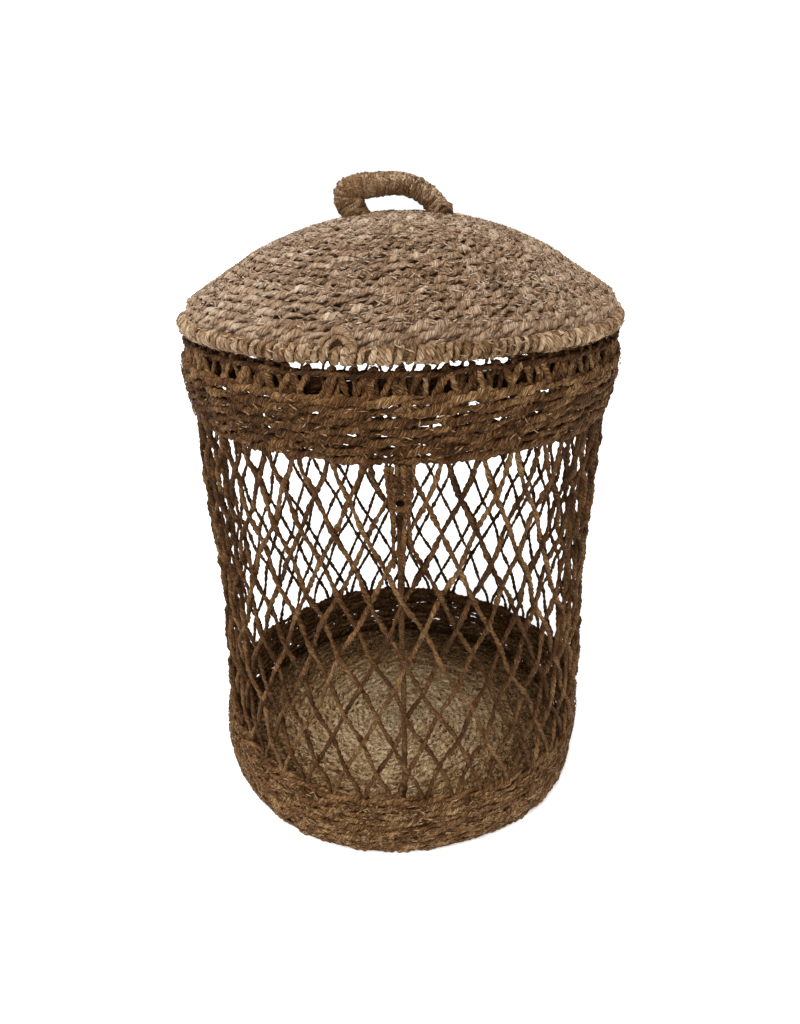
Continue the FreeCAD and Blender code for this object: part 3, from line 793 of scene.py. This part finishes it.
def across_lid():
    """Radii from the crown to the edge, the way along the dome to each, and a row's width."""
    radii = np.linspace(3 * MM, 191 * MM, 2000)
    rise = np.diff(dome(radii))
    reach = np.concatenate([[0], np.cumsum(np.hypot(np.diff(radii), rise))])
    return radii, reach, reach[-1] / LID_ROWS


def make_lid_rows():
    """Rings of short stitches from the crown down to the roll, with two rows at the edge."""
    radii, reach, width = across_lid()
    bundles = [Bundle(), Bundle()]
    for row in range(LID_ROWS):
        radius = float(np.interp((row + 0.5) * width, reach, radii))
        slope = math.atan2(
            float(dome(radius + 3 * MM) - dome(radius - 3 * MM)), 6 * MM
        )
        lift = math.pi / 2 + slope
        limits = ((135, 84), (82, 56), (42, 32), (20, 18), (0, 8))
        stitches = [count for limit, count in limits if radius >= limit * MM][0]
        swing, depth = 2.2 * MM, 1.9 * MM
        inward = swing + depth - 2.2 * MM
        twined_row(
            bundles[row % 2], radius - inward * math.cos(lift),
            float(dome(radius)) - inward * math.sin(lift), lift, stitches, swing, 1.9 * MM,
            0.42 * width, depth, 1000 + 17 * row, step=1.7 * MM, twist=11 * MM, plies=2,
            groove=0.42, sides=9, rough=0.22, tone=0.5, spread=0.2,
        )
    edges = Bundle()
    places = ((191.6, 494.6, 0.75), (192.4, 489.6, 0.2))
    for number, (radius, height, lift) in enumerate(places):
        twined_row(
            edges, (radius - 1.6) * MM, height * MM, lift, 84, 1.6 * MM, 1.7 * MM,
            3.4 * MM, 1.8 * MM, 1480 + number, step=1.7 * MM, twist=11 * MM, groove=0.42,
            sides=9, rough=0.2, tone=0.46, spread=0.16,
        )
    edges.piece("lid_edge_rows", LID, "lid", "seagrass_lid")
    names = ("lid_weave", "lid_spokes"), ("lid_crown",)
    for number, bundle in enumerate(bundles):
        bundle.piece(f"lid_rows_{number + 1}", LID, "lid", "seagrass_lid", names[number])


def make_lid_lining():
    """Warps under the rows of the lid, a lining under the warps and fibres on top."""
    radii, reach, width = across_lid()
    spokes = Bundle()
    share = np.linspace(0, 1, 90)
    for count, start, shift in ((42, 60, 0.0), (42, 120, 0.5), (21, 12, 0.25)):
        angle = (np.arange(count) + shift)[:, None] * TURN / count
        radius = (start + (190 - start) * share[None]) * MM + 0 * angle
        path = polar(radius, angle + 0 * radius, dome(radius) - 4.1 * MM)
        spokes.strands(path, (0, 0, 1), 1.8 * MM, 1.4 * MM, 1500 + count, sides=6, tone=0.4)
    spokes.piece("lid_warps", LID, "lid", "seagrass_lid")
    lining = Bundle()
    turn = np.linspace(0, TURN, 200, endpoint=False)
    for row in range(2 * LID_ROWS):
        radius = float(np.interp((row + 0.5) * width / 2, reach, radii)) - 1.5 * MM
        line = polar(radius, turn, float(dome(radius)) - 6.4 * MM)
        lining.strands(line[None], (0, 0, 1), 3.6 * MM, 1.0 * MM, 1560 + row, groove=0.25,
                       closed=True, twist=24 * MM, sides=6, tone=0.24)
    lining.piece("lid_lining", LID, "lid", "seagrass_lid")
    line = [(at, float(dome(at)) + 1.6 * MM) for at in np.linspace(0.192, 0.004, 40)]
    loose_fibres("lid_fibres", LID, "lid", "seagrass_lid", 4700, 6000, line)


def make_lid_roll():
    """The thick roll: a strand wrapped closely round a stuffed hoop."""
    wraps, per_wrap = 188, 20
    share = np.linspace(0, 1, wraps * per_wrap, endpoint=False)
    angle = TURN * share + wander(TURN * share, 0, 1601, 0.004, (10, 60))
    turn = TURN * wraps * share
    thick = 1.75 * MM
    reach = (ROLL_RADIUS - thick) * (1 + wander(angle, 0, 1602, 0.03, (20, 90)))
    line = polar(
        ROLL_CENTRE + 1 * MM + reach * np.cos(turn), angle, ROLL_HEIGHT + reach * np.sin(turn)
    )
    away = np.stack([
        np.cos(turn) * np.cos(angle), np.cos(turn) * np.sin(angle), np.sin(turn)
    ], -1)
    bundle = Bundle()
    bundle.strands(
        line[None], away[None], 3.1 * MM, thick, 1603, twist=17 * MM, groove=0.35,
        closed=True, sides=8, rough=0.2, tone=0.46, spread=0.36,
    )
    bundle.piece("lid_roll", ROLL, "lid", "seagrass_lid", ["lid_rim_wrap"])
    arc = np.radians(np.arange(-90, 121, 15))
    line = [(ROLL_CENTRE + 1 * MM + ROLL_RADIUS * np.cos(at),
             ROLL_HEIGHT + ROLL_RADIUS * np.sin(at)) for at in arc]
    loose_fibres("lid_roll_fibres", ROLL, "lid", "seagrass_lid", 4800, 600, line)

    core = Bundle()
    angle = np.linspace(0, TURN, 360, endpoint=False)
    line = polar(ROLL_CENTRE, angle, np.full(360, ROLL_HEIGHT))
    core.strands(line[None], outward(angle)[None], 5.4 * MM, 5.4 * MM, 1610, plies=5,
                 twist=60 * MM, groove=0.15, closed=True, sides=16, tone=0.2)
    core.piece("lid_roll_core", ROLL, "lid", "seagrass_lid", ["lid_hoop"])


def make_lid_loop():
    """Closure loop at the front: two turns of strand that arch up from the roll."""
    angle = math.radians(-102.6)
    reach, foot = 194.5 * MM, ROLL_HEIGHT + 4 * MM
    turns = np.linspace(-0.25, math.pi + 0.25, 30)
    bundle = Bundle()
    for number, (half, tall) in enumerate(((11.5, 13.0), (7.6, 9.0))):
        swerve = angle + half * MM * np.cos(turns) / reach * (1 + 0.12 * np.sin(5 * turns))
        height = foot + tall * MM * np.sin(turns)
        lean = reach + (3.0 - 3.0 * np.sin(turns) + number) * MM
        bundle.strands(
            polar(lean, swerve, height)[None], outward(swerve, 0.5)[None], 2.4 * MM,
            2.4 * MM, 1700 + number, twist=9 * MM, groove=0.42, sides=10, rough=0.24,
            tone=0.6, spread=0.2,
        )
    # A near-black ring, tone 0, set behind the opening of the loops: painted shade in the opening.
    round_ = np.linspace(0, TURN, 24, endpoint=False)
    back = polar(reach + 0.5 * MM, angle + 2.6 * MM * np.cos(round_) / reach,
                 foot + 4.6 * MM + 1.6 * MM * np.sin(round_))
    bundle.strands(back[None], outward(angle)[None, None], 2.2 * MM, 1.2 * MM, 1705,
                   closed=True, twist=9 * MM, sides=8, tone=0.0)
    bundle.piece("closure_loop", ROLL, "lid", "seagrass_lid", ["lid_loop"])


# ---------------------------------------------------------------- handle


# Share of the way along the handle, and its radius over the wrapping there, mm
GIRTH = (0, 0.12, 0.24, 0.36, 0.6, 0.8, 1), (10.8, 12.6, 12.6, 11.2, 9.8, 9.6, 10.6)
HANDLE_CORNERS = (  # right of the axis and above the floor, mm
    (-37.5, 552), (-38, 561), (-41, 569), (-46.5, 577), (-48.5, 583.5), (-41, 587.5),
    (-27, 589), (-10, 590.2), (1, 589.6), (12, 586.6), (22, 581), (30, 574), (34.5, 566),
    (36, 556),
)
FORWARD = np.array([0, 1, 0])


def handle_line(step):
    """Centre line of the handle: it bulges out to the left and slopes down to the right."""
    corners = np.array(HANDLE_CORNERS) * MM
    points = np.stack([corners[:, 0], 0 * corners[:, 0], corners[:, 1]], -1)
    return smooth_line(points, step, 3)


HANDLE = handle_line(0.5 * MM)
HANDLE_SHARE = np.linspace(0, 1, len(HANDLE))
HANDLE_LENGTH = np.linalg.norm(np.diff(HANDLE, axis=0), axis=1).sum()


def girth(share):
    """Radius of the handle over its wrapping."""
    return np.interp(share, GIRTH[0], GIRTH[1])


def round_handle(share, spin):
    """Centres on the handle's line at a share of its length, and directions away from it."""
    along = np.gradient(HANDLE, axis=0)
    along /= np.linalg.norm(along, axis=1, keepdims=True)
    across = np.cross(along, FORWARD)
    centre = np.stack([np.interp(share, HANDLE_SHARE, HANDLE[:, n]) for n in range(3)], -1)
    side = np.stack([np.interp(share, HANDLE_SHARE, across[:, n]) for n in range(3)], -1)
    return centre, side * np.cos(spin)[..., None] + FORWARD * np.sin(spin)[..., None]


def make_handle():
    """The handle's core and two layers of strand wound round it in opposite directions."""
    core = Bundle()
    coarse = handle_line(3 * MM)
    thick = (girth(np.linspace(0, 1, len(coarse))) - 2.3) * MM
    core.strands(coarse[None], (0, 1, 0), thick, thick, 1800, plies=3, groove=0.1,
                 twist=40 * MM, sides=14, tone=0.3)
    core.piece("handle_core_cane", LID, "lid", "handle_cane", ["handle_core"])

    bundle = Bundle()
    for layer in range(2):
        pitch = np.interp(HANDLE_SHARE, [0, 0.12, 0.2, 0.3, 0.5, 1],
                          [3.4, 2.2, 1.6, 2.4, 3.4, 3.4]) * MM
        turn_line = np.cumsum(HANDLE_LENGTH / len(HANDLE) / pitch) * TURN
        even = np.linspace(0, turn_line[-1], int(turn_line[-1] / TURN * 24))
        at = np.interp(even, turn_line, HANDLE_SHARE)
        drift = 0.35 * np.sin(even * 0.21 + 4 * layer)
        centre, away = round_handle(at, (even + drift) * (1 if layer else -1))
        thick = np.interp(at, [0, 0.3, 0.6, 0.8, 1], [1.6, 1.6, 1.5, 1.4, 1.3]) * MM
        bumps = 0.04 * np.sin(even * 0.37 + layer) * np.sin(even * 0.113 + 2 * layer)
        reach = (girth(at) * MM - thick - (1 - layer) * 0.9 * MM) * (1 + bumps)
        bundle.strands(
            (centre + away * reach[:, None])[None], away[None], thick * 1.5, thick,
            1801 + layer, twist=6 * MM, groove=0.5, sides=8, rough=0.3, tone=0.55,
            spread=0.3,
        )
    bundle.piece("handle_wrapping", ROLL, "lid", "seagrass_lid", ["handle_wrap"])


def make_handle_fibres():
    """Loose fibres on the upper and outer sides of the wrapping."""
    rng = np.random.default_rng(1840)
    count, stretch = 1500, np.linspace(-1, 1, 5)[None]
    half, tilt = rng.uniform(1.2, 2.8, (count, 1)) * MM, rng.normal(1.4, 0.5, (count, 1))
    at = rng.uniform(0, 1, (count, 1)) + half * stretch * np.cos(tilt) / HANDLE_LENGTH
    full = girth(at) * MM
    spin = rng.uniform(-0.8, 2.2, (count, 1)) * math.pi / 2 + half * stretch * np.sin(tilt) / full
    centre, away = round_handle(at, spin)
    sunk = np.interp(at, [0.1, 0.15, 0.36, 0.44], [0.8, 1.9, 1.9, 0.8]) * MM
    bow = full - sunk + rng.uniform(-0.4, 0.6, (count, 1)) * MM * stretch
    fibres = Bundle()
    fibres.strands(centre + away * bow[..., None], away, 1.0 * MM, 0.5 * MM, 1841, groove=0,
                   sides=3, rough=0, tone=0.76, spread=0.38)
    fibres.piece("handle_fibres", ROLL, "lid", "seagrass_lid")


def make_handle_bindings():
    """A knot round each foot of the handle, lying on the crown."""
    places = {
        "left": ((-37.5, 0, 566), (12.5, 13, 8), 11, 2.4),
        "right": ((34.5, 0, 567), (12.5, 12.5, 8.5), 10, 2.0),
    }
    for seed, (word, (centre, reach, loops, thick)) in enumerate(places.items()):
        bundle = Bundle()
        centre, reach = np.array(centre) * MM, np.array(reach) * MM
        tangle(bundle, centre, reach, loops, thick * MM, 1850 + 40 * seed, 0.24)
        low = centre - np.array([0, 0, 5 * MM])
        wide = reach * np.array([1.25, 1.25, 0.35])
        tangle(bundle, low, wide, 4, thick * MM, 1870 + 40 * seed, 0.3)
        bundle.piece(f"handle_binding_{word}", ROLL, "lid", "seagrass_lid",
                     [f"handle_lashing_{word}"])


# ---------------------------------------------------------------- surroundings


def make_surroundings():
    """Pale floor, soft light from all round and from above, and the camera."""
    scene = bpy.context.scene
    mesh = bpy.data.meshes.new("floor")
    mesh.from_pydata([(-6, -6, 0), (6, -6, 0), (6, 6, 0), (-6, 6, 0)], [], [(0, 1, 2, 3)])
    floor = bpy.data.objects.new("floor", mesh)
    scene.collection.objects.link(floor)
    paint = Paint("floor_paint")
    paint.shader.inputs["Base Color"].default_value = (0.9, 0.9, 0.9, 1)
    paint.shader.inputs["Roughness"].default_value = 0.9
    paint.shader.inputs["Emission Color"].default_value = (1, 1, 1, 1)
    paint.shader.inputs["Emission Strength"].default_value = 0.4
    mesh.materials.append(paint.material)

    world = bpy.data.worlds.new("studio")
    world.use_nodes = True
    nodes, links = world.node_tree.nodes, world.node_tree.links
    path = nodes.new("ShaderNodeLightPath")
    strength = nodes.new("ShaderNodeMapRange")
    strength.inputs["To Min"].default_value = 0.55
    strength.inputs["To Max"].default_value = 1.05
    links.new(path.outputs["Is Camera Ray"], strength.inputs["Value"])
    links.new(strength.outputs["Result"], nodes["Background"].inputs["Strength"])
    nodes["Background"].inputs["Color"].default_value = (1, 1, 1, 1)
    scene.world = world

    light = bpy.data.lights.new("overhead", "SUN")
    light.energy = 3.2
    light.angle = math.radians(40)
    sun = bpy.data.objects.new("overhead", light)
    sun.rotation_euler = (math.radians(24), 0, math.radians(-30))
    scene.collection.objects.link(sun)

    lens = bpy.data.cameras.new("camera")
    lens.lens = 25.78
    lens.sensor_width = 36
    camera = bpy.data.objects.new("camera", lens)
    camera.location = (0, -0.7024, 0.5930)
    camera.rotation_euler = (math.radians(90 - 24.41), 0, 0)
    scene.collection.objects.link(camera)
    scene.camera = camera
    scene.view_settings.view_transform = "Standard"


make_surroundings()
make_floor_mat()
make_foot_hoop()
make_band("lower_band_foot", LOWER[:5], 2000, 0.59, 420)
make_band("lower_band_top", LOWER[5:], 2500, 0.56, 420)
make_band("upper_band", UPPER, 3000, 0.475, 160)
make_lattice()
make_uprights()
make_rim()
make_front_knot()
make_lid_rows()
make_lid_lining()
make_lid_roll()
make_lid_loop()
make_handle()
make_handle_fibres()
make_handle_bindings()
